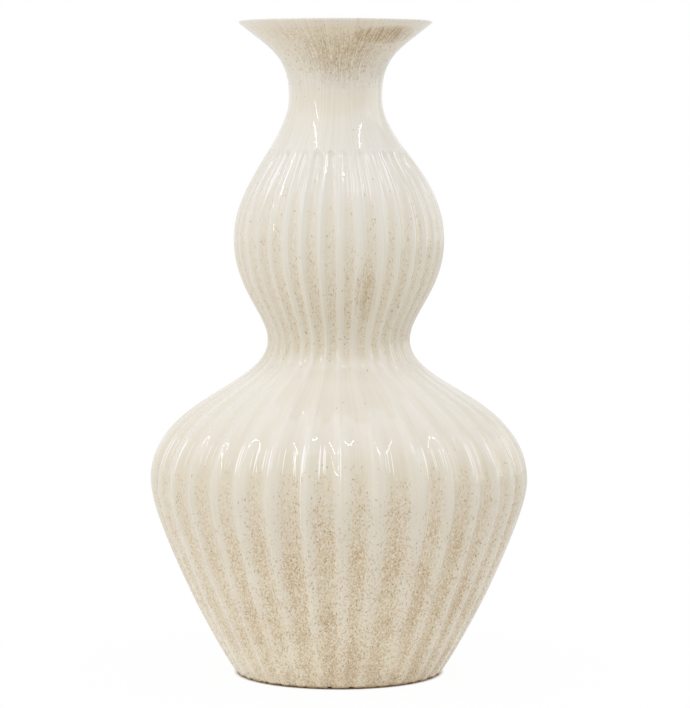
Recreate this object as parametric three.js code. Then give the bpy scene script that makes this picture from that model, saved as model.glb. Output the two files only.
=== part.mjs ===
// A fluted double-gourd vase in glazed earthenware, 500 mm tall, standing on four felt pads.
//
// A tall double gourd is too narrow at the waist to be formed in one go. It is made as three
// sections, luted together with slip before firing: a fluted lower body with its floor and foot
// ring, a fluted upper bulb, and a plain neck with a trumpet mouth. They meet face to face at the
// waist and on the bulb's shoulder. Four felt pads are stuck under the foot ring.
//
// Units are millimetres. +Z is up, -Y is the front, and the origin is on the table, on the axis.
import * as THREE from 'three';
import { mergeVertices } from 'three/addons/utils/BufferGeometryUtils.js';

// Outline: the radius and height of each station of the outer wall, from the foot to the lip
const footRadius = 80.3;
const bellyRadius = 144.9;
const bellyHeight = 149.4;
const waistRadius = 54.6;
const waistHeight = 257;
const bulbRadius = 80.6;
const bulbHeight = 334.3;
const throatRadius = 35.7;
const throatHeight = 441.8;
const mouthRadius = 74;
const vaseHeight = 500;

// The wall's lean from upright where it leaves the foot and where it reaches the lip, in degrees
const footLean = 35.4;
const mouthLean = 51.5;

// Between two stations the wall is one cubic curve. Each pair says how far the curve runs on
// beside its lower and its upper station, as shares of the rise between them.
const flankFullness = [0.19, 0.19];
const bodyShoulderFullness = [0.595, 0.344];
const waistFullness = [0.254, 0.505];
const bulbShoulderFullness = [0.437, 0.303];
const trumpetFullness = [0.56, 0.353];

// Clay: wall, lip and floor
const wallThickness = 6;
const lipThickness = 2.4;
const floorThickness = 8;
const floorFillet = 14;

// Foot ring: a bare ring with a bevelled edge round a shallow recess
const footBevel = 1.5;
const footRingWidth = 16;
const recessDepth = 4;
const recessBevel = 2;

// Flutes: they start in rounded ends under the plain neck and run down to the foot. Each depth is
// that of the hollow below the ridges, and the flutes are faintest on the body's shoulder.
const fluteCount = 35;
const fluteTopHeight = 404;
const fluteEndLength = 9;
const fluteEndRounding = 5;
const fluteDepthAtBulb = 2.1;
const fluteDepthAtWaist = 1.5;
const faintestHeight = 222;
const fluteDepthAtFaintest = 1.2;
const fluteDepthAtBelly = 3.5;
const fluteDepthAtFoot = 1;

// Felt pads under the foot ring
const padCount = 4;
const padRadius = 6;
const padThickness = 1;

// Smoothness: columns round the axis, and how far a straight row may stray from the true outline
const columnsPerFlute = 4;
const neckColumns = 64;
const padSides = 16;
const outsideTolerance = 0.5;
const insideTolerance = 1.5;
const fluteEndRows = 3;
const lipRows = 4;
const filletRows = 2;

const footEdgeHeight = padThickness + footBevel;
const footInnerRadius = footRadius - footBevel - footRingWidth;
const recessHeight = padThickness + recessDepth;
const floorHeight = recessHeight + floorThickness;

// The outer wall as a chain of cubic curves

function wallCurve(from, to, fullness, leanFrom = 0, leanTo = 0) {
  const rise = to.y - from.y;
  const up = rise * fullness[0];
  const down = rise * fullness[1];
  const slopeFrom = Math.tan(THREE.MathUtils.degToRad(leanFrom));
  const slopeTo = Math.tan(THREE.MathUtils.degToRad(leanTo));
  return new THREE.CubicBezierCurve(
    from,
    new THREE.Vector2(from.x + up * slopeFrom, from.y + up),
    new THREE.Vector2(to.x - down * slopeTo, to.y - down),
    to,
  );
}

// The lip is a half round as thick as the wall is there. Its top is at the vase's height and its
// outermost point at the mouth's radius, which places the last point of the outer wall.
const lipRound = lipThickness / 2;
const lipLean = THREE.MathUtils.degToRad(mouthLean);
const lipCentre = new THREE.Vector2(mouthRadius - lipRound, vaseHeight - lipRound);
const lipOuterEdge = new THREE.Vector2(
  lipCentre.x + lipRound * Math.cos(lipLean),
  lipCentre.y - lipRound * Math.sin(lipLean),
);

const foot = new THREE.Vector2(footRadius, footEdgeHeight);
const belly = new THREE.Vector2(bellyRadius, bellyHeight);
const waist = new THREE.Vector2(waistRadius, waistHeight);
const bulb = new THREE.Vector2(bulbRadius, bulbHeight);
const throat = new THREE.Vector2(throatRadius, throatHeight);

const wallCurves = [
  wallCurve(foot, belly, flankFullness, footLean, 0),
  wallCurve(belly, waist, bodyShoulderFullness),
  wallCurve(waist, bulb, waistFullness),
  wallCurve(bulb, throat, bulbShoulderFullness),
  wallCurve(throat, lipOuterEdge, trumpetFullness, 0, mouthLean),
];
const atFoot = 0;
const atThroat = 4;
const atLip = wallCurves.length;

// A point of the wall. The place counts curves from the foot, so 2.5 is halfway up the third
// curve, and the inset is measured squarely into the clay.
function wallPoint(place, inset) {
  const index = Math.min(Math.floor(place), wallCurves.length - 1);
  const point = wallCurves[index].getPoint(place - index);
  const along = wallCurves[index].getTangent(place - index);
  return new THREE.Vector2(point.x - along.y * inset, point.y + along.x * inset);
}

// The clay thins from the throat to the lip.
function thicknessAt(place) {
  const towardsLip = THREE.MathUtils.clamp((place - atThroat) / (atLip - atThroat), 0, 1);
  return THREE.MathUtils.lerp(wallThickness, lipThickness, towardsLip);
}

const outerWall = (place) => wallPoint(place, 0);
const innerWall = (place) => wallPoint(place, thicknessAt(place));

// The place at which a side of the wall passes a height, found by halving
function placeAtHeight(side, height) {
  let low = atFoot;
  let high = atLip;
  while (high - low > 1e-9) {
    const middle = (low + high) / 2;
    if (side(middle).y < height) {
      low = middle;
    } else {
      high = middle;
    }
  }
  return (low + high) / 2;
}

// Points of one side of the wall from one place to another, both ends included. They lie closer
// together where the wall bends more: a chord of length L that turns by A strays by L * A / 8.
function rows(side, from, to, tolerance) {
  const samples = 300;
  const fine = [];
  for (let i = 0; i <= samples; i += 1) {
    fine.push(side(THREE.MathUtils.lerp(from, to, i / samples)));
  }
  const bend = [0, 0];
  for (let i = 2; i <= samples; i += 1) {
    const before = fine[i - 1].clone().sub(fine[i - 2]);
    const after = fine[i].clone().sub(fine[i - 1]);
    const stray = (after.length() * before.angleTo(after)) / 8;
    bend.push(bend.at(-1) + Math.sqrt(stray / tolerance));
  }
  const steps = Math.ceil(bend.at(-1));
  const points = [fine[0]];
  for (let i = 1; i < steps; i += 1) {
    const target = (bend.at(-1) * i) / steps;
    points.push(fine[bend.findIndex((sum) => sum >= target)]);
  }
  points.push(fine.at(-1));
  return points;
}

// Puts an end row that lies on a luting joint exactly into the joint's plane, so that the two
// sections meet face to face
function level(points, index, height) {
  points.at(index).y = height;
}

// Flutes

// Depth of the hollows below the ridges at a height, easing from each station to the next
const fluteDepths = [
  [footEdgeHeight, fluteDepthAtFoot],
  [bellyHeight, fluteDepthAtBelly],
  [faintestHeight, fluteDepthAtFaintest],
  [waistHeight, fluteDepthAtWaist],
  [bulbHeight, fluteDepthAtBulb],
  [fluteTopHeight, fluteDepthAtBulb],
];

function fluteDepth(height) {
  let depth = fluteDepthAtFoot;
  for (let i = 1; i < fluteDepths.length; i += 1) {
    const [low, depthLow] = fluteDepths[i - 1];
    const [high, depthHigh] = fluteDepths[i];
    if (height >= low) {
      const share = THREE.MathUtils.smoothstep(height, low, high);
      depth = THREE.MathUtils.lerp(depthLow, depthHigh, share);
    }
  }
  return depth;
}

// Across a flute the hollow is a shallow arc: deepest in the middle, nothing on the two ridges.
// Its top runs out in a rounded end, so the middle reaches highest.
function hollowAt(angle, height) {
  const turn = (angle / (2 * Math.PI)) * fluteCount;
  const fromMiddle = Math.abs(2 * (turn - Math.floor(turn)) - 1);
  const top = fluteTopHeight - fluteEndRounding * fromMiddle ** 2;
  const runOut = THREE.MathUtils.smoothstep(top - height, 0, fluteEndLength);
  return fluteDepth(height) * (1 - fromMiddle ** 2) * runOut;
}

// Presses the flutes into the vertices of a turned section that belong to its outer wall
function pressFlutes(geometry, profile, fluted) {
  const position = geometry.getAttribute('position');
  for (let i = 0; i < position.count; i += 1) {
    if (fluted.has(profile[i % profile.length])) {
      const x = position.getX(i);
      const y = position.getY(i);
      const radius = Math.hypot(x, y);
      const share = 1 - hollowAt(Math.atan2(x, -y), position.getZ(i)) / radius;
      position.setXY(i, x * share, y * share);
    }
  }
}

// Sections of the vase

const vase = new THREE.Group();

const glazedEarthenware = { color: 0xe6dfcf, roughness: 0.16, metalness: 0 };
const felt = { color: 0x4a443d, roughness: 0.95, metalness: 0 };

function addPiece(name, geometry, finish) {
  const mesh = new THREE.Mesh(geometry, new THREE.MeshStandardMaterial(finish));
  mesh.name = name;
  vase.add(mesh);
  return mesh;
}

// Turns a profile about the vertical axis. The outer wall's points, where given, are fluted.
function addSection(name, profile, columns, outerPoints = []) {
  const geometry = new THREE.LatheGeometry(profile, columns);
  geometry.rotateX(Math.PI / 2);
  pressFlutes(geometry, profile, new Set(outerPoints));
  geometry.deleteAttribute('uv');
  geometry.deleteAttribute('normal');
  const welded = mergeVertices(geometry, 1e-4);
  welded.computeVertexNormals();
  return addPiece(name, welded, glazedEarthenware);
}

const flutedColumns = fluteCount * columnsPerFlute;
const outerAtWaist = placeAtHeight(outerWall, waistHeight);
const innerAtWaist = placeAtHeight(innerWall, waistHeight);
const outerAtNeck = placeAtHeight(outerWall, fluteTopHeight);
const innerAtNeck = placeAtHeight(innerWall, fluteTopHeight);

// Lower body: foot ring, recess, flank, belly and shoulder up to the waist, with the floor inside
function addLowerBody() {
  const underside = [
    new THREE.Vector2(0, recessHeight),
    new THREE.Vector2(footInnerRadius - recessBevel, recessHeight),
    new THREE.Vector2(footInnerRadius, padThickness),
    new THREE.Vector2(footRadius - footBevel, padThickness),
  ];
  const outside = rows(outerWall, atFoot, outerAtWaist, outsideTolerance);
  level(outside, -1, waistHeight);
  const filletTop = placeAtHeight(innerWall, floorHeight + floorFillet);
  const inside = rows(innerWall, innerAtWaist, filletTop, insideTolerance);
  level(inside, 0, waistHeight);
  const corner = innerWall(placeAtHeight(innerWall, floorHeight));
  const fillet = new THREE.QuadraticBezierCurve(
    inside.at(-1),
    new THREE.Vector2(corner.x, floorHeight),
    new THREE.Vector2(corner.x - floorFillet, floorHeight),
  );
  const floor = [...fillet.getPoints(filletRows).slice(1), new THREE.Vector2(0, floorHeight)];
  const profile = [...underside, ...outside, ...inside, ...floor];
  addSection('lower_body', profile, flutedColumns, outside);
}

// Upper bulb: an open ring of wall from the waist to the end of the flutes
function addUpperBulb() {
  const fluteEndStart = placeAtHeight(outerWall, fluteTopHeight - 2 * fluteEndLength);
  const outside = rows(outerWall, outerAtWaist, fluteEndStart, outsideTolerance);
  for (let i = 1; i <= fluteEndRows; i += 1) {
    outside.push(outerWall(THREE.MathUtils.lerp(fluteEndStart, outerAtNeck, i / fluteEndRows)));
  }
  level(outside, 0, waistHeight);
  level(outside, -1, fluteTopHeight);
  const inside = rows(innerWall, innerAtNeck, innerAtWaist, insideTolerance);
  level(inside, 0, fluteTopHeight);
  level(inside, -1, waistHeight);
  const profile = [...outside, ...inside, outside[0]];
  addSection('upper_bulb', profile, flutedColumns, outside);
}

// Neck and mouth: plain, turned smooth, opening into a trumpet with a half-round lip
function addNeckAndMouth() {
  const outside = rows(outerWall, outerAtNeck, atLip, outsideTolerance);
  level(outside, 0, fluteTopHeight);
  const lip = new THREE.EllipseCurve(
    lipCentre.x,
    lipCentre.y,
    lipRound,
    lipRound,
    -lipLean,
    Math.PI - lipLean,
  );
  const overLip = lip.getPoints(lipRows).slice(1, -1);
  const inside = rows(innerWall, atLip, innerAtNeck, insideTolerance);
  level(inside, -1, fluteTopHeight);
  const profile = [...outside, ...overLip, ...inside, outside[0]];
  addSection('neck_and_mouth', profile, neckColumns);
}

// Felt pads, face to face with the foot ring and midway across it
function addFeltPads() {
  const ringMiddle = (footInnerRadius + footRadius - footBevel) / 2;
  for (let i = 0; i < padCount; i += 1) {
    const angle = (2 * Math.PI * (i + 0.5)) / padCount;
    const geometry = new THREE.CylinderGeometry(padRadius, padRadius, padThickness, padSides);
    geometry.rotateX(Math.PI / 2);
    geometry.translate(0, 0, padThickness / 2);
    const pad = addPiece(`felt_pad_${i + 1}`, geometry, felt);
    pad.position.set(ringMiddle * Math.sin(angle), -ringMiddle * Math.cos(angle), 0);
  }
}

addLowerBody();
addUpperBulb();
addNeckAndMouth();
addFeltPads();

export default vase;
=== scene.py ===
# A fluted double-gourd vase in glazed earthenware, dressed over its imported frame.
# Sizes are in millimetres, and every mesh is in metres in the frame's own axes.
import math

import bpy
import numpy as np
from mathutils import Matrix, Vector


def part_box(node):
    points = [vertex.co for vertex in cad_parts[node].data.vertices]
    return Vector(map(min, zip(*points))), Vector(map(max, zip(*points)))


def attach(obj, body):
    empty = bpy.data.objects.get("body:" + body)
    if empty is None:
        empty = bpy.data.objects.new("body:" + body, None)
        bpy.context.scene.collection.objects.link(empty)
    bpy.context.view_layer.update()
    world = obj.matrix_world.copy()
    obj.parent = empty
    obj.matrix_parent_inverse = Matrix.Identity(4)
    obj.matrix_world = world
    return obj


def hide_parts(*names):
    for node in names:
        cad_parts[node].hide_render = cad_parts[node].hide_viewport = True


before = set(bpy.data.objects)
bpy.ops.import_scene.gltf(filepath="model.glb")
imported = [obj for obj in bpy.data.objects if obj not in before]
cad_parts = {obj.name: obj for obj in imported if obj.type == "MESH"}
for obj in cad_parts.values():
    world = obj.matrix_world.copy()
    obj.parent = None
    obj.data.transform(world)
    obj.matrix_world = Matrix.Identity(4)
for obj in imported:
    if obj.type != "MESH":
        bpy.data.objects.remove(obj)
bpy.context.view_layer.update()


# Wall of the vase
# Earthenware clay, thrown in three lengths, luted together while it was leather hard and then
# turned as one wall. It is hollow from the lip down to the floor over the foot ring.
mm = 0.001
# Points closer than this count as one point or as level, the tighter one where the turning closes
tolerance = 0.01
seam_tolerance = 0.001
pad_thickness = 1.0
foot_radius = 80.3
foot_bevel = 1.5
foot_ring_width = 16.0
recess_depth = 4.0
recess_edge = 2.0
recess_dish = 0.6
belly_radius = 144.9
belly_height = 149.4
waist_radius = 54.6
waist_height = 257.0
bulb_radius = 80.6
bulb_height = 334.3
throat_radius = 35.7
throat_height = 441.8
neck_joint_height = 404.0
vase_height = 500.0
lip_radius = 74.0
wall_thickness = 6.0
throat_thickness = 5.5
floor_height = 13.0
floor_fillet = 14.0
foot_lean = math.radians(35.4)
mouth_lean = math.radians(51.5)
neck_off_axis = 2.6
wall_columns = 560


def rise(low, high, fullness, lean_low=0.0, lean_high=0.0):
    """The two stations of one wall curve; the handles run on by shares of the rise between them"""
    up = (high[1] - low[1]) * fullness[0]
    down = (high[1] - low[1]) * fullness[1]
    after = (low[0] + up * math.tan(lean_low), low[1] + up)
    before = (high[0] - down * math.tan(lean_high), high[1] - down)
    return [(low, low, after), (high, before, high)]


def draw_run(stations, steps):
    """Draws one run of the wall's section as a curve through stations of point and two handles"""
    bpy.ops.object.select_all(action="DESELECT")
    bpy.ops.curve.primitive_bezier_curve_add()
    run = bpy.context.object
    if len(stations) > 2:
        bpy.ops.object.mode_set(mode="EDIT")
        bpy.ops.curve.select_all(action="SELECT")
        bpy.ops.curve.subdivide(number_cuts=len(stations) - 2)
        bpy.ops.object.mode_set(mode="OBJECT")
    spline = run.data.splines[0]
    spline.resolution_u = steps
    for point, (at, before, after) in zip(spline.bezier_points, stations):
        point.handle_left_type = "FREE"
        point.handle_right_type = "FREE"
        point.co = (at[0] * mm, 0, at[1] * mm)
        point.handle_left = (before[0] * mm, 0, before[1] * mm)
        point.handle_right = (after[0] * mm, 0, after[1] * mm)
    return run


# The underside: a shallow recess, the flat ring the pads are stuck to, and the foot's edge
ring_outer = foot_radius - foot_bevel
ring_inner = ring_outer - foot_ring_width
recess_height = pad_thickness + recess_depth
foot_edge_height = pad_thickness + foot_bevel
section = []
dish_height = recess_height - recess_dish
middle = (0.0, dish_height)
recess_rim = (ring_inner - recess_edge, recess_height)
section.append(draw_run([
    (middle, middle, (20.0, dish_height)),
    (recess_rim, (recess_rim[0] - 20.0, recess_height), recess_rim),
], 4))
ring_start = (ring_inner, pad_thickness)
section.append(draw_run([
    (recess_rim, recess_rim, (ring_inner - 0.4, recess_height)),
    (ring_start, (ring_inner - 1.1, pad_thickness), ring_start),
], 6))
ring_end = (ring_outer, pad_thickness)
foot = (foot_radius, foot_edge_height)
section.append(draw_run([(ring_start, ring_start, ring_end), (ring_end, ring_start, ring_end)], 3))
section.append(draw_run([
    (ring_end, ring_end, (ring_outer + 0.7, pad_thickness)),
    (foot, (foot_radius - 0.45, foot_edge_height - 0.7), foot),
], 4))

# The outside, from the foot's edge to the lip
belly = (belly_radius, belly_height)
waist = (waist_radius, waist_height)
bulb = (bulb_radius, bulb_height)
throat = (throat_radius, throat_height)
lip_below = (lip_radius - 1.4, vase_height - 2.6)
section.append(draw_run(rise(foot, belly, (0.19, 0.19), foot_lean, 0), 44))
section.append(draw_run(rise(belly, waist, (0.595, 0.344)), 56))
section.append(draw_run(rise(waist, bulb, (0.254, 0.505)), 40))
section.append(draw_run(rise(bulb, throat, (0.437, 0.303)), 60))
section.append(draw_run(rise(throat, lip_below, (0.56, 0.353), 0, mouth_lean), 44))

# The lip: a slim band that stands a little steeper than the trumpet, with a rounded top
lip_widest = (lip_radius, vase_height - 0.75)
lip_top = (lip_radius - 0.75, vase_height)
lip_inside = (lip_radius - 3.1, vase_height - 1.1)
section.append(draw_run([
    (lip_below, lip_below, (lip_radius - 0.7, vase_height - 2.0)),
    (lip_widest, (lip_radius, vase_height - 1.15), (lip_radius, vase_height - 0.35)),
    (lip_top, (lip_radius - 0.35, vase_height), (lip_radius - 1.5, vase_height)),
    (lip_inside, (lip_radius - 2.4, vase_height - 0.5), lip_inside),
], 5))

# The inside, a wall's thickness away, down to a rounded corner at the floor
throat_inside = (throat_radius - throat_thickness, throat_height)
bulb_inside = (bulb_radius - wall_thickness, bulb_height)
waist_inside = (waist_radius - wall_thickness, waist_height)
belly_inside = (belly_radius - wall_thickness, belly_height)
corner_radius = foot_radius - wall_thickness / math.cos(foot_lean)
corner_radius += (floor_height - foot_edge_height) * math.tan(foot_lean)
corner_run = floor_fillet * math.tan((math.pi / 2 - foot_lean) / 2)
corner_handle = corner_run * 0.62
flank_start = (
    corner_radius + corner_run * math.sin(foot_lean),
    floor_height + corner_run * math.cos(foot_lean),
)
floor_end = (corner_radius - corner_run, floor_height)
floor_middle = (0.0, floor_height)
for run, steps in (
    (rise(throat_inside, lip_inside, (0.54, 0.36), 0, mouth_lean), 20),
    (rise(bulb_inside, throat_inside, (0.44, 0.31)), 14),
    (rise(waist_inside, bulb_inside, (0.25, 0.5)), 14),
    (rise(belly_inside, waist_inside, (0.59, 0.35)), 16),
    (rise(flank_start, belly_inside, (0.19, 0.19), foot_lean, 0), 12),
):
    section.append(draw_run(run, steps))
section.append(draw_run([
    (floor_end, floor_end, (floor_end[0] + corner_handle, floor_height)),
    (
        flank_start,
        (
            flank_start[0] - corner_handle * math.sin(foot_lean),
            flank_start[1] - corner_handle * math.cos(foot_lean),
        ),
        flank_start,
    ),
], 5))
section.append(draw_run([
    (floor_middle, floor_middle, (30.0, floor_height)),
    (floor_end, (floor_end[0] - 20.0, floor_height), floor_end),
], 4))

# The runs become one line, which is turned about the axis like clay on the wheel
bpy.ops.object.select_all(action="DESELECT")
for run in section:
    run.select_set(True)
bpy.context.view_layer.objects.active = section[0]
bpy.ops.object.convert(target="MESH")
bpy.ops.object.join()
wall = bpy.context.object
wall.name = "turned_wall"
bpy.ops.object.mode_set(mode="EDIT")
bpy.ops.mesh.select_all(action="SELECT")
bpy.ops.mesh.remove_doubles(threshold=tolerance * mm)
bpy.ops.object.mode_set(mode="OBJECT")
turning = wall.modifiers.new("turning", "SCREW")
turning.steps = wall_columns
turning.render_steps = wall_columns
turning.use_merge_vertices = True
turning.merge_threshold = seam_tolerance * mm
turning.use_smooth_shade = True
bpy.ops.object.modifier_apply(modifier="turning")
bpy.ops.object.mode_set(mode="EDIT")
bpy.ops.mesh.select_all(action="SELECT")
bpy.ops.mesh.remove_doubles(threshold=seam_tolerance * mm)
bpy.ops.mesh.normals_make_consistent(inside=False)
for joint_height in (waist_height, neck_joint_height):
    bpy.ops.mesh.select_all(action="SELECT")
    bpy.ops.mesh.bisect(plane_co=(0, 0, joint_height * mm), plane_no=(0, 0, 1))
bpy.ops.mesh.select_all(action="SELECT")
bpy.ops.mesh.remove_doubles(threshold=tolerance * mm)
bpy.ops.object.mode_set(mode="OBJECT")


# Flutes
# Thirty-five hollows cut by hand into the leather-hard wall with a rounded loop tool, from the
# rounded ends under the collar down to the foot. The hand's spacing drifts a little across the
# front, and the last flute that was cut, just right of the front, came out wider than the rest.
flute_count = 35
# In degrees: the widths of the flutes across the front, counted from the front to the right (the
# others share the rest), the place of the first ridge, and how far widths slip and ridges sway
hand_widths = {30: 9.2, 31: 9.7, 32: 10.4, 33: 10.6, 34: 10.4, 0: 10.6, 1: 12.9, 2: 10.9, 3: 9.7}
first_ridge = 0.7
width_slip = 0.15
ridge_sway = 0.3
ridge_gather = 0.6
flute_top_height = neck_joint_height
flute_end_gap = 0.3
flute_end_length = 4.5
flute_end_rounding = 5.0
# How deep the tool went, in mm by height, eased over a length, and what share a flute differs by
flute_depths = (
    (0, 1.0), (25, 1.2), (60, 2.1), (110, 3.1), (149, 3.6), (178, 3.2), (200, 2.2), (222, 1.0),
    (240, 1.0), (257, 1.3), (290, 1.8), (334, 2.1), (404, 2.1),
)
depth_easing = 27
depth_slip = 0.26
ridge_roundness = 0.2
hand = np.random.default_rng(11)


def vectors(data, name):
    """The vectors of a mesh's vertices, one in each row"""
    values = np.empty(len(data) * 3)
    data.foreach_get(name, values)
    return values.reshape(-1, 3)


def eased(share):
    """A share from 0 to 1 that starts and ends gently"""
    share = np.clip(share, 0, 1)
    return share * share * (3 - 2 * share)


place = vectors(wall.data.vertices, "co") / mm
facing = vectors(wall.data.vertex_normals, "vector")
radius = np.hypot(place[:, 0], place[:, 1])
height = place[:, 2].copy()

# Each column of the wall goes to its share of the way across its own flute, more of them to the
# narrow ridges than to the floor of the hollow
evenly = (360 - sum(hand_widths.values())) / (flute_count - len(hand_widths))
widths = evenly + hand.normal(0, width_slip, flute_count)
for index, width in hand_widths.items():
    widths[index] = width
widths *= 360 / widths.sum()
ridges = first_ridge + np.concatenate([[0], np.cumsum(widths)])
azimuth = np.degrees(np.arctan2(place[:, 0], -place[:, 1])) % 360
column = np.round(azimuth * wall_columns / 360).astype(int) % wall_columns
per_flute = wall_columns // flute_count
flute = column // per_flute
across = (column % per_flute) / per_flute
across -= ridge_gather * np.sin(2 * math.pi * across) / (2 * math.pi)
following = (flute + 1) % flute_count
sway = hand.uniform(0, 2 * math.pi, flute_count)
sway_length = hand.uniform(55, 95, flute_count)
sway_here = ridge_sway * np.sin(height / sway_length[flute] + sway[flute])
sway_next = ridge_sway * np.sin(height / sway_length[following] + sway[following])
turned_to = ridges[flute] + across * widths[flute]
turned_to += sway_here + (sway_next - sway_here) * across
turned_to = np.radians(turned_to)
out = np.stack([np.sin(turned_to), -np.cos(turned_to)], 1)
old_out = place[:, :2] / np.maximum(radius, 1e-6)[:, None]
along_out = (facing[:, :2] * old_out).sum(1)
facing[:, :2] = out * along_out[:, None]
place[:, :2] = out * radius[:, None]

# The outside wall is what lies outside the middle of the wall at its height
on_outside = (along_out > 0.05) & (height > foot_edge_height - tolerance)
on_outside |= (radius > ring_outer) & (height <= foot_edge_height)
every_mm = np.arange(-40, int(vase_height) + 41)
easing = np.hanning(depth_easing) / np.hanning(depth_easing).sum()
depth_every_mm = np.convolve(np.interp(every_mm, *zip(*flute_depths)), easing, "same")
depth = np.interp(height, every_mm, depth_every_mm)
lean_to_side = hand.uniform(-0.05, 0.05, flute_count)
shifted = across + lean_to_side[flute] * np.sin(2 * math.pi * across)
from_ridge = 1 - np.abs(2 * shifted - 1)
rounded = np.hypot(from_ridge, ridge_roundness) - ridge_roundness
rounded /= math.hypot(1, ridge_roundness) - ridge_roundness
hollow = 2 * rounded - rounded ** 2
from_middle = np.abs(2 * across - 1)
flute_top = flute_top_height - flute_end_gap - flute_end_rounding * from_middle ** 2
run_out = eased((flute_top - height) / flute_end_length)
hand_depth = 1 + hand.uniform(-depth_slip, depth_slip, flute_count)[flute]
hand_depth += 0.08 * np.sin(height / 38 + sway[flute] * 3)
pressed = depth * hollow * run_out * hand_depth * on_outside
place -= facing * pressed[:, None]

# The wheel and the hand leave the wall slightly uneven, and the neck stands off the axis
uneven = np.zeros(len(height))
swells = (
    # waves round the wall, and length up the wall and height of a wave in mm
    (3, 140, 0.16), (5, 90, 0.12), (7, 60, 0.08), (11, 45, 0.05),
)
for waves, length, amount in swells:
    start = hand.uniform(0, 2 * math.pi, 2)
    uneven += amount * np.sin(waves * turned_to + start[0]) * np.sin(height / length * 6 + start[1])
uneven *= np.clip((height - 20) / 40, 0, 1) * np.clip((490 - height) / 40, 0, 1)
place += facing * (uneven * (radius > 20))[:, None]
place[:, 0] -= neck_off_axis * eased((height - 375) / 55)

# The rings at the luting joints stay level, so that the three lengths meet face to face
for joint_height in (waist_height, neck_joint_height):
    place[np.abs(height - joint_height) < tolerance, 2] = joint_height
wall.data.vertices.foreach_set("co", (place * mm).ravel())
wall.data.update()

# What the pieces keep of the whole wall: how deep in a flute each point lies, for the glaze, and
# which way the wall faces there, so that the three lengths shade as one
glaze_runs = eased((from_ridge - 0.22) / 0.45)
hollow_share = np.where(on_outside, glaze_runs * run_out, 0.35)
hollow_share = np.where(height > flute_top_height - 12, np.maximum(hollow_share, 0.3), hollow_share)
wall.data.attributes.new("hollow", "FLOAT", "POINT")
wall.data.attributes["hollow"].data.foreach_set("value", hollow_share.astype(np.float32))
facing_now = vectors(wall.data.vertex_normals, "vector").ravel()
wall.data.attributes.new("wall_normal", "FLOAT_VECTOR", "POINT")
wall.data.attributes["wall_normal"].data.foreach_set("vector", facing_now)


# Glaze and clay
# A cream tin glaze, dipped and fired glossy. Iron and rutile in it rise as short ochre and brown
# needles where it lies thick, in the hollows and towards the foot, and it breaks pale on ridges.
def linear(code):
    """The linear colour of an sRGB hex code"""
    parts = [int(code[start:start + 2], 16) / 255 for start in (1, 3, 5)]
    return [p / 12.92 if p <= 0.04045 else ((p + 0.055) / 1.055) ** 2.4 for p in parts] + [1.0]


def blank(owner):
    """The emptied node tree of a material or world"""
    owner.use_nodes = True
    owner.node_tree.nodes.clear()
    return owner.node_tree


def add(tree, kind, sockets=(), **settings):
    """Adds a node with its settings, and gives each named socket a value or a link"""
    made = tree.nodes.new(kind)
    for name, value in settings.items():
        setattr(made, name, value)
    for name, value in dict(sockets).items():
        if isinstance(value, bpy.types.NodeSocket):
            tree.links.new(value, made.inputs[name])
        else:
            made.inputs[name].default_value = value
    return made


def number(tree, operation, *values):
    """The result of a sum on numbers, each of them a value or a link"""
    return add(tree, "ShaderNodeMath", dict(enumerate(values)), operation=operation).outputs[0]


def vector(tree, operation, *values):
    """The result of a sum on vectors, which is a number for a length or a dot product"""
    names = (0, "Scale") if operation == "SCALE" else range(len(values))
    made = add(tree, "ShaderNodeVectorMath", dict(zip(names, values)), operation=operation)
    return made.outputs["Value" if operation in ("DOT_PRODUCT", "LENGTH") else "Vector"]


def ranged(tree, value, low, high, at_low=0.0, at_high=1.0):
    """A number that goes from at_low to at_high as the value goes from low to high"""
    sockets = {"Value": value, "From Min": low, "From Max": high, "To Min": at_low, "To Max": at_high}
    return add(tree, "ShaderNodeMapRange", sockets).outputs[0]


def noise(tree, place, scale, detail, distortion=0.0):
    """Soft noise, the finer the larger its scale"""
    sockets = {"Vector": place, "Scale": scale, "Detail": detail, "Distortion": distortion}
    return add(tree, "ShaderNodeTexNoise", sockets).outputs[0]


def mixed(tree, share, first, second):
    """Two numbers mixed by the share of the second"""
    return add(tree, "ShaderNodeMix", {0: share, 2: first, 3: second}).outputs[0]


def blended(tree, share, first, second):
    """Two colours mixed by the share of the second"""
    sockets = {0: share, 6: first, 7: second}
    return add(tree, "ShaderNodeMix", sockets, data_type="RGBA").outputs[2]


def bumped(tree, height, distance, strength=1.0, under=None):
    """The normal of a surface with this height, laid over the bumps under it"""
    sockets = {"Height": height, "Distance": distance, "Strength": strength}
    if under:
        sockets["Normal"] = under
    return add(tree, "ShaderNodeBump", sockets).outputs[0]


def flattened(tree, arrow, normal):
    """What is left of a vector along the surface"""
    lift = vector(tree, "DOT_PRODUCT", arrow, normal)
    return vector(tree, "SUBTRACT", arrow, vector(tree, "SCALE", normal, lift))


def coat_with(tree, sockets):
    """Gives a material its shader"""
    shader = add(tree, "ShaderNodeBsdfPrincipled", sockets)
    add(tree, "ShaderNodeOutputMaterial", {"Surface": shader.outputs[0]})


glaze = bpy.data.materials.new("cream_flecked_tin_glaze")
tree = blank(glaze)
at = add(tree, "ShaderNodeTexCoord").outputs["Object"]
surface = add(tree, "ShaderNodeNewGeometry").outputs["Normal"]
in_hollow = add(tree, "ShaderNodeAttribute", attribute_name="hollow").outputs["Fac"]
parts = add(tree, "ShaderNodeSeparateXYZ", {0: at})
to_right = parts.outputs["X"]
up = parts.outputs["Z"]
up_share = number(tree, "MULTIPLY", up, 1 / (vase_height * mm))

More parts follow.
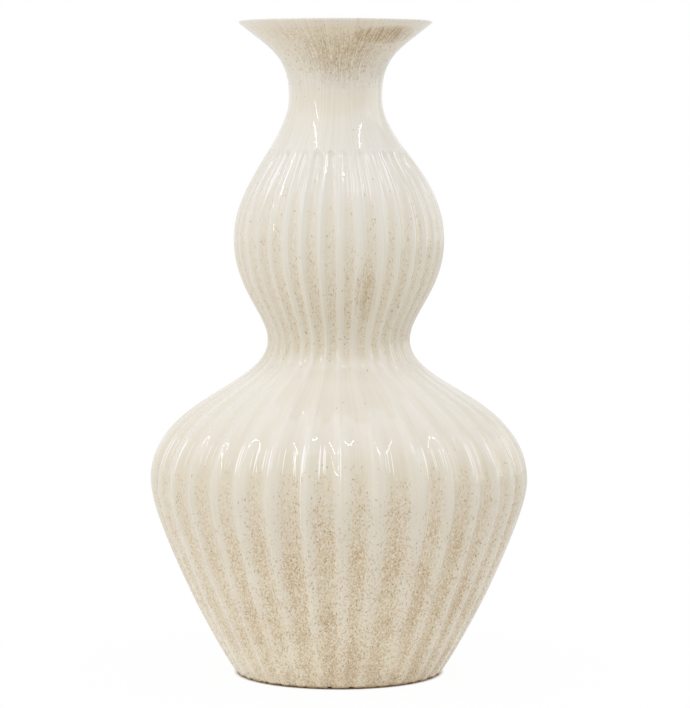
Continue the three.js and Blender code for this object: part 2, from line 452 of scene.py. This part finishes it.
# The tones that the glaze takes with its thickness and with the fire. The foot's tone and the
# shoulder's white are also made lighter as painted light: light from the floor on the foot, and
# light in place of the shade that the bulb casts on the shoulder.
foot_cream = "#F8EFD9"
pale_cream = "#EEE6D5"
warm_cream = "#E9DFC7"
cream = "#E4DED0"
shoulder_white_with_light = "#ECE7DC"
dull_cream = "#E1DACB"
beige = "#DDD4C0"
cool_cream = "#E4E0D6"
sand = "#E1D5BF"

# Tones and flecks by height in mm, for the ridges and for the hollows between them. Flecks and
# painted highlight lines are greys, from black for none to white for the most.
zones = {
    "ridge_colour": {0: foot_cream, 60: pale_cream, 140: cream, 175: cream, 228: shoulder_white_with_light,
                     250: dull_cream, 300: cream, 345: cool_cream, 404: cool_cream, 440: cream,
                     456: cool_cream, 475: cream, 492: sand, 500: cool_cream},
    "hollow_colour": {0: foot_cream, 60: warm_cream, 120: sand, 165: beige, 228: shoulder_white_with_light,
                      250: beige, 300: beige, 345: dull_cream, 404: cool_cream, 440: cream,
                      456: cool_cream, 470: sand, 492: sand, 500: cool_cream},
    "ridge_flecks": {0: "#8A8A8A", 50: "#7A7A7A", 110: "#484848", 150: "#2A2A2A", 178: "#040404",
                     240: "#000000", 262: "#161616", 300: "#121212", 350: "#060606", 395: "#020202",
                     436: "#020202", 462: "#363636", 485: "#606060", 494: "#202020", 499: "#000000"},
    "hollow_flecks": {0: "#B8B8B8", 60: "#B0B0B0", 115: "#989898", 145: "#686868", 172: "#1A1A1A",
                      190: "#020202", 235: "#000000", 258: "#484848", 290: "#606060", 325: "#444444",
                      365: "#242424", 395: "#060606", 436: "#040404", 462: "#4C4C4C",
                      485: "#888888", 494: "#303030", 499: "#000000"},
    # painted highlight lines, by height
    "painted_glint_lines": {160: "#000000", 173: "#DCDCDC", 184: "#E4E4E4", 190: "#000000", 243: "#000000",
                    247: "#D4D4D4", 253: "#D4D4D4", 257: "#000000", 355: "#000000", 372: "#F0F0F0",
                    399: "#FFFFFF", 403: "#000000"},
}
ramps = {}
for name, stops in zones.items():
    ramp = add(tree, "ShaderNodeValToRGB", {"Fac": up_share}, label=name)
    elements = ramp.color_ramp.elements
    heights = sorted(stops)
    while len(elements) < len(heights):
        elements.new(0.5)
    for element, stop in zip(elements, heights):
        element.position = stop / vase_height
        element.color = linear(stops[stop])
    ramps[name] = ramp.outputs["Color"]

# The ground tone, with soft clouds of tan over it where the flecks of the hollows lie dense
cloud = noise(tree, at, 38.0, 3.0)
ground = blended(tree, in_hollow, ramps["ridge_colour"], ramps["hollow_colour"])
wash = ranged(tree, cloud, 0.42, 0.7, 0.0, 0.3)
wash = number(tree, "MULTIPLY", wash, ramps["hollow_flecks"])
colour = blended(tree, wash, ground, linear("#C6A778"))

# How thick the flecks lie: by zone and by flute, in patches, less on the left of the body, and in
# the trumpet most towards a side a little right of the front, given in radians
flecked_side = 0.35
in_zone = mixed(tree, in_hollow, ramps["ridge_flecks"], ramps["hollow_flecks"])
towards = vector(tree, "DOT_PRODUCT", at, (math.sin(flecked_side), -math.cos(flecked_side), 0))
to_front = ranged(tree, towards, 0.0, 0.05, 0.6, 1.35)
to_left = ranged(tree, to_right, -0.02, -0.08, 1.0, 0.62)
in_trumpet = ranged(tree, up, 0.435, 0.46)
side = mixed(tree, in_trumpet, to_left, to_front)
patchy = ranged(tree, cloud, 0.3, 0.7, 0.55, 1.45)
thick = number(tree, "MULTIPLY", in_zone, side)
thick = number(tree, "MULTIPLY", thick, patchy)

# The glaze pooled in three places as the vase was turned over to dip its neck: in the closing
# flute above the waist, and under the trumpet at its front and right
pools = (
    # centre x, y, z and half sizes in mm, how thick
    ((20.0, -72.0, 283.0), (8.0, 14.0, 36.0), 0.46),
    ((3.0, -44.0, 473.0), (28.0, 20.0, 22.0), 0.46),
    ((38.0, -46.0, 488.5), (28.0, 24.0, 6.0), 1.25),
)
pooled = 0.0
for centre, half, thickness in pools:
    apart = vector(tree, "SUBTRACT", at, [c * mm for c in centre])
    apart = vector(tree, "MULTIPLY", apart, [1 / (h * mm) for h in half])
    pool = ranged(tree, vector(tree, "LENGTH", apart), 1.25, 0.3, 0.0, thickness)
    pooled = number(tree, "ADD", pool, pooled)
thick = number(tree, "MULTIPLY_ADD", pooled, 0.35, thick)
pool_wash = number(tree, "MULTIPLY", pooled, 0.55)
colour = blended(tree, pool_wash, colour, linear("#CDB88C"))

# There, and all round the trumpet, the flecks run together into streaks down the wall, about
# 1.5 mm wide and 10 mm long. Lengths round the wall are shares of a turn, so that the streaks and
# lines spread and close up with it.
round_place = vector(tree, "NORMALIZE", vector(tree, "MULTIPLY", at, (1, 1, 0)))
run_place = vector(tree, "MULTIPLY", at, (0, 0, 95))
run_place = vector(tree, "MULTIPLY_ADD", round_place, (38, 38, 38), run_place)
runs = noise(tree, run_place, 1.0, 2.0)
run_thick = number(tree, "MULTIPLY", in_trumpet, thick)
run_thick = number(tree, "MULTIPLY_ADD", run_thick, 0.25, pooled)
streaky = ranged(tree, runs, 0.42, 0.64, 0.1, 1.2)
streaks = number(tree, "MULTIPLY", streaky, run_thick)
colour = blended(tree, streaks, colour, linear("#8C7348"))

# Where the flecks are dense they mat into a mesh of fibres, 1 mm wide and 2.5 mm long, drawn
# down the wall and pushed about by the melt
warp = add(tree, "ShaderNodeTexNoise", {"Vector": at, "Scale": 260.0, "Detail": 1.0})
pushed = vector(tree, "MULTIPLY_ADD", warp.outputs["Color"], (0.0035, 0.0035, 0.0018), at)
drawn = vector(tree, "MULTIPLY", pushed, (1150, 1150, 430))
mesh_of_fibres = noise(tree, drawn, 1.0, 0.0)
matted = number(tree, "MULTIPLY_ADD", thick, 0.55, mesh_of_fibres)
fibres = ranged(tree, matted, 0.60, 0.90, 0.0, 0.52)
flecked = ranged(tree, thick, 0.004, 0.05)
fibres = number(tree, "MULTIPLY", fibres, flecked)
colour = blended(tree, fibres, colour, linear("#BA965C"))
between = ranged(tree, mesh_of_fibres, 0.44, 0.28)
pale_share = number(tree, "MULTIPLY", between, thick)
pale_here = number(tree, "MULTIPLY_ADD", in_trumpet, -0.6, 1.0)
pale_share = number(tree, "MULTIPLY", pale_share, pale_here)
colour = blended(tree, pale_share, colour, linear("#F6F0E3"))

# Ochre, pale and brown needles, about 2 mm long and 1 mm wide. Each lies in a cell of its own and
# turns its own way along the surface, more down the wall than across it, as the melt pulled it.
needles = (
    # cell in mm, half length and half width in cells, share of cells, colour, strength
    (2.3, 0.50, 0.21, 1.5, "#BF9A5A", 0.38),
    (2.6, 0.50, 0.19, 1.5, "#F4EFE3", 0.36),
    (2.9, 0.48, 0.17, 1.2, "#AF8644", 0.42),
    (3.0, 0.30, 0.14, 0.50, "#6E5537", 0.50),
)
for cell, long, wide, share, code, strength in needles:
    scaled = vector(tree, "SCALE", at, 1 / (cell * mm))
    cells = add(tree, "ShaderNodeTexVoronoi", {"Vector": scaled, "Scale": 1.0})
    turn = vector(tree, "SUBTRACT", cells.outputs["Color"], (0.5, 0.5, -0.05))
    lie = vector(tree, "NORMALIZE", flattened(tree, turn, surface))
    away = vector(tree, "SUBTRACT", scaled, cells.outputs["Position"])
    away = flattened(tree, away, surface)
    away_squared = vector(tree, "DOT_PRODUCT", away, away)
    along = vector(tree, "DOT_PRODUCT", away, lie)
    along_squared = number(tree, "MULTIPLY", along, along)
    beside_squared = number(tree, "SUBTRACT", away_squared, along_squared)
    reach = number(tree, "MULTIPLY", along_squared, 1 / long ** 2)
    reach = number(tree, "MULTIPLY_ADD", beside_squared, 1 / wide ** 2, reach)
    inside = ranged(tree, reach, 0.5, 1.6, strength, 0.0)
    lot = add(tree, "ShaderNodeTexWhiteNoise", {"Vector": cells.outputs["Position"]})
    chance = number(tree, "MULTIPLY", thick, share)
    taken = number(tree, "LESS_THAN", lot.outputs["Value"], chance)
    cover = number(tree, "MULTIPLY", inside, taken)
    colour = blended(tree, cover, colour, linear(code))

# The loop tool and the running glaze leave fine lines down the wall, about 2 mm apart on the
# bulb. They follow the flutes, so they spread at the belly and close up at the waist.
down_place = vector(tree, "MULTIPLY", at, (0, 0, 14))
line_place = vector(tree, "MULTIPLY_ADD", round_place, (70, 70, 70), down_place)
lines = noise(tree, line_place, 1.0, 1.0)
above_shoulder = ranged(tree, up, 0.250, 0.275, 0.30, 0.50)
on_neck = ranged(tree, up, 0.404, 0.412, 1.0, 1.7)
line_strength = number(tree, "MULTIPLY", above_shoulder, on_neck)
pale_lines = ranged(tree, lines, 0.5, 0.72, 0.0, 0.4)
dark_lines = ranged(tree, lines, 0.5, 0.28, 0.0, 0.3)
for drawn_lines, code in ((pale_lines, "#F2ECDF"), (dark_lines, "#CDBD9E")):
    share = number(tree, "MULTIPLY", drawn_lines, line_strength)
    colour = blended(tree, share, colour, linear(code))

# Below the collar, in the fillet of the waist and above the belly, thin white lines are painted
# along the finest lines of the tool: painted highlights, standing in for the gleams of tall lights in
# the glaze. They are twice as close on the belly.
belly_place = vector(tree, "MULTIPLY_ADD", round_place, (135, 135, 135), down_place)
belly_lines = noise(tree, belly_place, 1.0, 0.0)
above_belly = ranged(tree, up, 0.20, 0.23)
painted_glints = mixed(tree, above_belly, belly_lines, lines)
painted_glints = number(tree, "MULTIPLY_ADD", ramps["painted_glint_lines"], 0.25, painted_glints)
painted_glint_share = ranged(tree, painted_glints, 0.82, 0.90, 0.0, 0.9)
# Painted highlight: the lines are mixed into the glaze's colour as near white
colour = blended(tree, painted_glint_share, colour, linear("#FFFEFC"))

# The combing stands out on the fluted bulb, less on the body, and hardly on the plain neck
fluted = ranged(tree, up, 0.405, 0.398, 0.05, 1.0)
on_bulb = ranged(tree, up, 0.300, 0.345, 0.4, 1.0)
fluted = number(tree, "MULTIPLY", fluted, on_bulb)
combed = number(tree, "MULTIPLY", lines, fluted)

# The melt leaves slow waves 20 mm across and a faint orange peel 3 mm across. The combing shows
# in the gloss only.
slow = bumped(tree, noise(tree, at, 50.0, 1.0), 0.0002)
fine = bumped(tree, noise(tree, at, 330.0, 1.0), 0.00003, under=slow)
combing = bumped(tree, combed, 0.00005, under=fine)
coat_with(tree, {
    "Base Color": colour,
    "Normal": fine,
    "Coat Normal": combing,
    "Roughness": 0.25,
    "IOR": 1.5,
    "Specular IOR Level": 0.1,
    "Coat Weight": 1.0,
    "Coat Roughness": 0.012,
    "Coat IOR": 1.52,
})

clay = bpy.data.materials.new("bare_fired_earthenware")
tree = blank(clay)
at = add(tree, "ShaderNodeTexCoord").outputs["Object"]
grog = noise(tree, at, 1400.0, 3.0)
stain = noise(tree, at, 60.0, 4.0)
coat_with(tree, {
    "Base Color": blended(tree, stain, linear("#D9C3A0"), linear("#C4A781")),
    "Normal": bumped(tree, grog, 0.0002, 0.6),
    "Roughness": 0.85,
})
wall.data.materials.append(glaze)
wall.data.materials.append(clay)


# Lower body, upper bulb, neck and mouth
# The three thrown lengths. Each is cut from the turned wall at its luting joints, where it meets
# the next one face to face, and the glaze runs over the joints without a break.
lengths = (
    ("glazed_lower_body", "lower_body", 0.0, waist_height),
    ("glazed_upper_bulb", "upper_bulb", waist_height, neck_joint_height),
    ("glazed_neck_and_mouth", "neck_and_mouth", neck_joint_height, vase_height),
)
# The foot ring is wiped bare, so that it doesn't stick to the kiln shelf
bare_below = foot_edge_height - 0.2
bare_outside = ring_inner - 1.8
for name, node, low, high in lengths:
    bpy.ops.object.select_all(action="DESELECT")
    wall.select_set(True)
    bpy.context.view_layer.objects.active = wall
    bpy.ops.object.duplicate()
    piece = bpy.context.object
    piece.name = name
    piece.data.name = name
    bpy.ops.object.mode_set(mode="EDIT")
    bpy.ops.mesh.select_mode(type="FACE")
    bpy.ops.mesh.select_all(action="DESELECT")
    bpy.ops.object.mode_set(mode="OBJECT")
    for face in piece.data.polygons:
        face.select = not low * mm < face.center.z < high * mm
    bpy.ops.object.mode_set(mode="EDIT")
    bpy.ops.mesh.delete(type="FACE")
    joints = [joint for joint in (low, high) if 0 < joint < vase_height]
    for joint in joints:
        bpy.ops.mesh.select_mode(type="EDGE")
        bpy.ops.mesh.select_all(action="DESELECT")
        bpy.ops.object.mode_set(mode="OBJECT")
        level = [abs(v.co.z - joint * mm) < tolerance * mm for v in piece.data.vertices]
        for edge in piece.data.edges:
            edge.select = level[edge.vertices[0]] and level[edge.vertices[1]]
        bpy.ops.object.mode_set(mode="EDIT")
        bpy.ops.mesh.bridge_edge_loops()
    bpy.ops.object.mode_set(mode="OBJECT")
    mesh = piece.data
    corners = np.empty(len(mesh.loops), dtype=int)
    mesh.loops.foreach_get("vertex_index", corners)
    normals = vectors(mesh.attributes["wall_normal"].data, "vector")
    normals /= np.linalg.norm(normals, axis=1)[:, None]
    normals = normals[corners]
    for face in mesh.polygons:
        if any(abs(face.center.z - joint * mm) < tolerance * mm for joint in joints):
            normals[face.loop_start:face.loop_start + face.loop_total] = face.normal
        if face.center.z < bare_below * mm and face.center.xy.length > bare_outside * mm:
            face.material_index = 1
    mesh.normals_split_custom_set(normals.tolist())
    mesh.attributes.remove(mesh.attributes["wall_normal"])
    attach(piece, "root")
    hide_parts(node)
bpy.data.objects.remove(wall)


# Felt pads
# Four discs punched from pressed wool felt, one millimetre thick, stuck under the foot ring. The
# punch leaves a slightly rolled edge.
pad_radius = 6.0
pad_edge_roll = 0.22
felt = bpy.data.materials.new("pressed_wool_felt")
tree = blank(felt)
at = add(tree, "ShaderNodeTexCoord").outputs["Object"]
fibre = noise(tree, at, 2200.0, 4.0, 1.5)
coat_with(tree, {
    "Base Color": blended(tree, fibre, linear("#39342E"), linear("#625A50")),
    "Normal": bumped(tree, fibre, 0.0002, 0.7),
    "Roughness": 0.95,
    "Sheen Weight": 0.4,
    "Sheen Roughness": 0.5,
})
for pad_number in range(1, 5):
    low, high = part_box(f"felt_pad_{pad_number}")
    centre = [(low[axis] + high[axis]) / 2 for axis in range(3)]
    bpy.ops.object.select_all(action="DESELECT")
    bpy.ops.mesh.primitive_cylinder_add(
        vertices=48, radius=pad_radius * mm, depth=pad_thickness * mm, location=centre
    )
    pad = bpy.context.object
    pad.name = f"felt_disc_{pad_number}"
    bpy.ops.object.mode_set(mode="EDIT")
    bpy.ops.mesh.select_mode(type="EDGE")
    bpy.ops.mesh.select_all(action="DESELECT")
    bpy.ops.object.mode_set(mode="OBJECT")
    for edge in pad.data.edges:
        ends = [pad.data.vertices[v].co.z for v in edge.vertices]
        edge.select = abs(ends[0] - ends[1]) < tolerance * mm
    bpy.ops.object.mode_set(mode="EDIT")
    bpy.ops.mesh.bevel(offset=pad_edge_roll * mm, segments=3)
    bpy.ops.object.mode_set(mode="OBJECT")
    bpy.ops.object.transform_apply(location=True, rotation=True, scale=True)
    bpy.ops.object.shade_smooth_by_angle(angle=math.radians(35))
    pad.data.materials.append(felt)
    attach(pad, "root")
    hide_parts(f"felt_pad_{pad_number}")


# Studio
# A pale floor under a white backdrop. Eight soft sheets light the clay from above, from the front
# and from both sides, and five lamps, most of them narrow strips, show only as gleams in the
# glaze. The camera stands where the photographer's stood.
def seen(tree):
    """1 for what the camera sees, straight or in the glaze, and 0 for what only gives light"""
    path = add(tree, "ShaderNodeLightPath").outputs
    straight = number(tree, "MAXIMUM", path["Is Camera Ray"], path["Is Transmission Ray"])
    return number(tree, "MAXIMUM", straight, path["Is Glossy Ray"])


# Seen from the camera the paper is white but for the vase's shadow, dark under the foot and faint
# for 200 mm round it. What the glaze mirrors of it is a third dimmer.
floor_paint = bpy.data.materials.new("pale_floor_paper")
tree = blank(floor_paint)
far = vector(tree, "LENGTH", add(tree, "ShaderNodeTexCoord").outputs["Object"])
lit = ranged(tree, far, 0.082, 0.3, 0.965, 1.0)
past_foot = ranged(tree, far, 0.078, 0.0815)
glossy = add(tree, "ShaderNodeLightPath").outputs["Is Glossy Ray"]
mirrored = number(tree, "MULTIPLY_ADD", glossy, -0.35, 1.0)
for factor in (past_foot, mirrored, seen(tree)):
    lit = number(tree, "MULTIPLY", lit, factor)
paper = add(tree, "ShaderNodeBsdfDiffuse", {"Color": linear("#F4F3F1")})
white = add(tree, "ShaderNodeEmission", {"Color": (1, 1, 1, 1), "Strength": 1.0})
both = add(tree, "ShaderNodeMixShader", {0: lit, 1: paper.outputs[0], 2: white.outputs[0]})
add(tree, "ShaderNodeOutputMaterial", {"Surface": both.outputs[0]})
bpy.ops.object.select_all(action="DESELECT")
floor_side = 12
bpy.ops.mesh.primitive_plane_add(size=floor_side, location=(0, 0, 0))
floor = bpy.context.object
floor.name = "studio_floor"
floor.data.materials.append(floor_paint)

world = bpy.data.worlds.new("studio_air")
bpy.context.scene.world = world
tree = blank(world)
air = add(tree, "ShaderNodeBackground", {"Color": linear("#F1F0EE"), "Strength": 0.66})
backdrop = add(tree, "ShaderNodeBackground", {"Color": (1, 1, 1, 1), "Strength": 1.0})
both = add(
    tree, "ShaderNodeMixShader", {0: seen(tree), 1: air.outputs[0], 2: backdrop.outputs[0]}
)
add(tree, "ShaderNodeOutputWorld", {"Surface": both.outputs[0]})

# Each lamp: azimuth, elevation and distance from the vase's middle, roll, width and length in
# metres, radiance, where the white floor is about 1, its tint, and whether it lights or gleams
middle_height = 0.28
lamps = (
    ("ceiling_sheet", 0, 90, 1.32, 0, 3.6, 3.6, 0.17, "#FFFFFF", "lights"),
    ("key_front", 0, 42, 2.0, 0, 1.8, 1.2, 0.53, "#FFFFFF", "lights"),
    ("key_left", -50, 42, 2.0, 0, 1.8, 1.2, 0.47, "#FFFFFF", "lights"),
    ("key_right", 50, 42, 2.0, 0, 1.8, 1.2, 0.88, "#FFFFFF", "lights"),
    ("low_front", 0, -5, 2.4, 0, 1.8, 1.2, 0.16, "#FFFFFF", "lights"),
    ("low_left", -50, -5, 2.4, 0, 1.8, 1.2, 0.90, "#FFFFFF", "lights"),
    ("panel_left", -85, 12, 1.3, 0, 1.0, 1.5, 0.67, "#FFFFFF", "lights"),
    ("panel_right", 88, 12, 1.3, 0, 1.0, 1.5, 0.12, "#FFFFFF", "lights"),
    ("overhead_gleam", 0, 80, 0.55, 0, 2.4, 0.70, 0.65, "#B3C4FF", "gleams"),
    ("strip_left", -56, 55, 1.3, -19, 0.022, 0.58, 18.0, "#FFFFFF", "gleams"),
    ("strip_low_left", -50, 28, 1.3, -7, 0.02, 0.80, 12.0, "#FFFFFF", "gleams"),
    ("strip_right", 67, 55, 1.3, 13, 0.022, 0.58, 18.0, "#FFFFFF", "gleams"),
    ("side_gleam", 104, 16, 1.3, 0, 1.1, 0.9, 0.70, "#FFFFFF", "gleams"),
)
for name, turn, lift, distance, roll, width, length, radiance, tint, use in lamps:
    turn = math.radians(turn)
    lift = math.radians(lift)
    bpy.ops.object.light_add(
        type="AREA",
        location=(
            distance * math.sin(turn) * math.cos(lift),
            -distance * math.cos(turn) * math.cos(lift),
            middle_height + distance * math.sin(lift),
        ),
        rotation=(math.pi / 2 - lift, 0, turn),
    )
    lamp = bpy.context.object
    lamp.rotation_euler.rotate_axis("Z", math.radians(roll))
    lamp.name = name
    lamp.data.shape = "RECTANGLE"
    lamp.data.size = width
    lamp.data.size_y = length
    lamp.data.energy = math.pi * width * length * radiance
    lamp.data.color = linear(tint)[:3]
    lamp.visible_camera = False
    lamp.visible_diffuse = use != "gleams"
    lamp.visible_glossy = use != "lights"

camera_place = (0.00467, -2.3425, 0.421)
camera_tilt = math.radians(85.7225)
bpy.ops.object.camera_add(location=camera_place, rotation=(camera_tilt, 0, 0))
camera = bpy.context.object
camera.data.lens = 155.59
camera.data.sensor_width = 36.0
camera.data.clip_end = 50.0
bpy.context.scene.camera = camera
bpy.context.scene.view_settings.view_transform = "Standard"
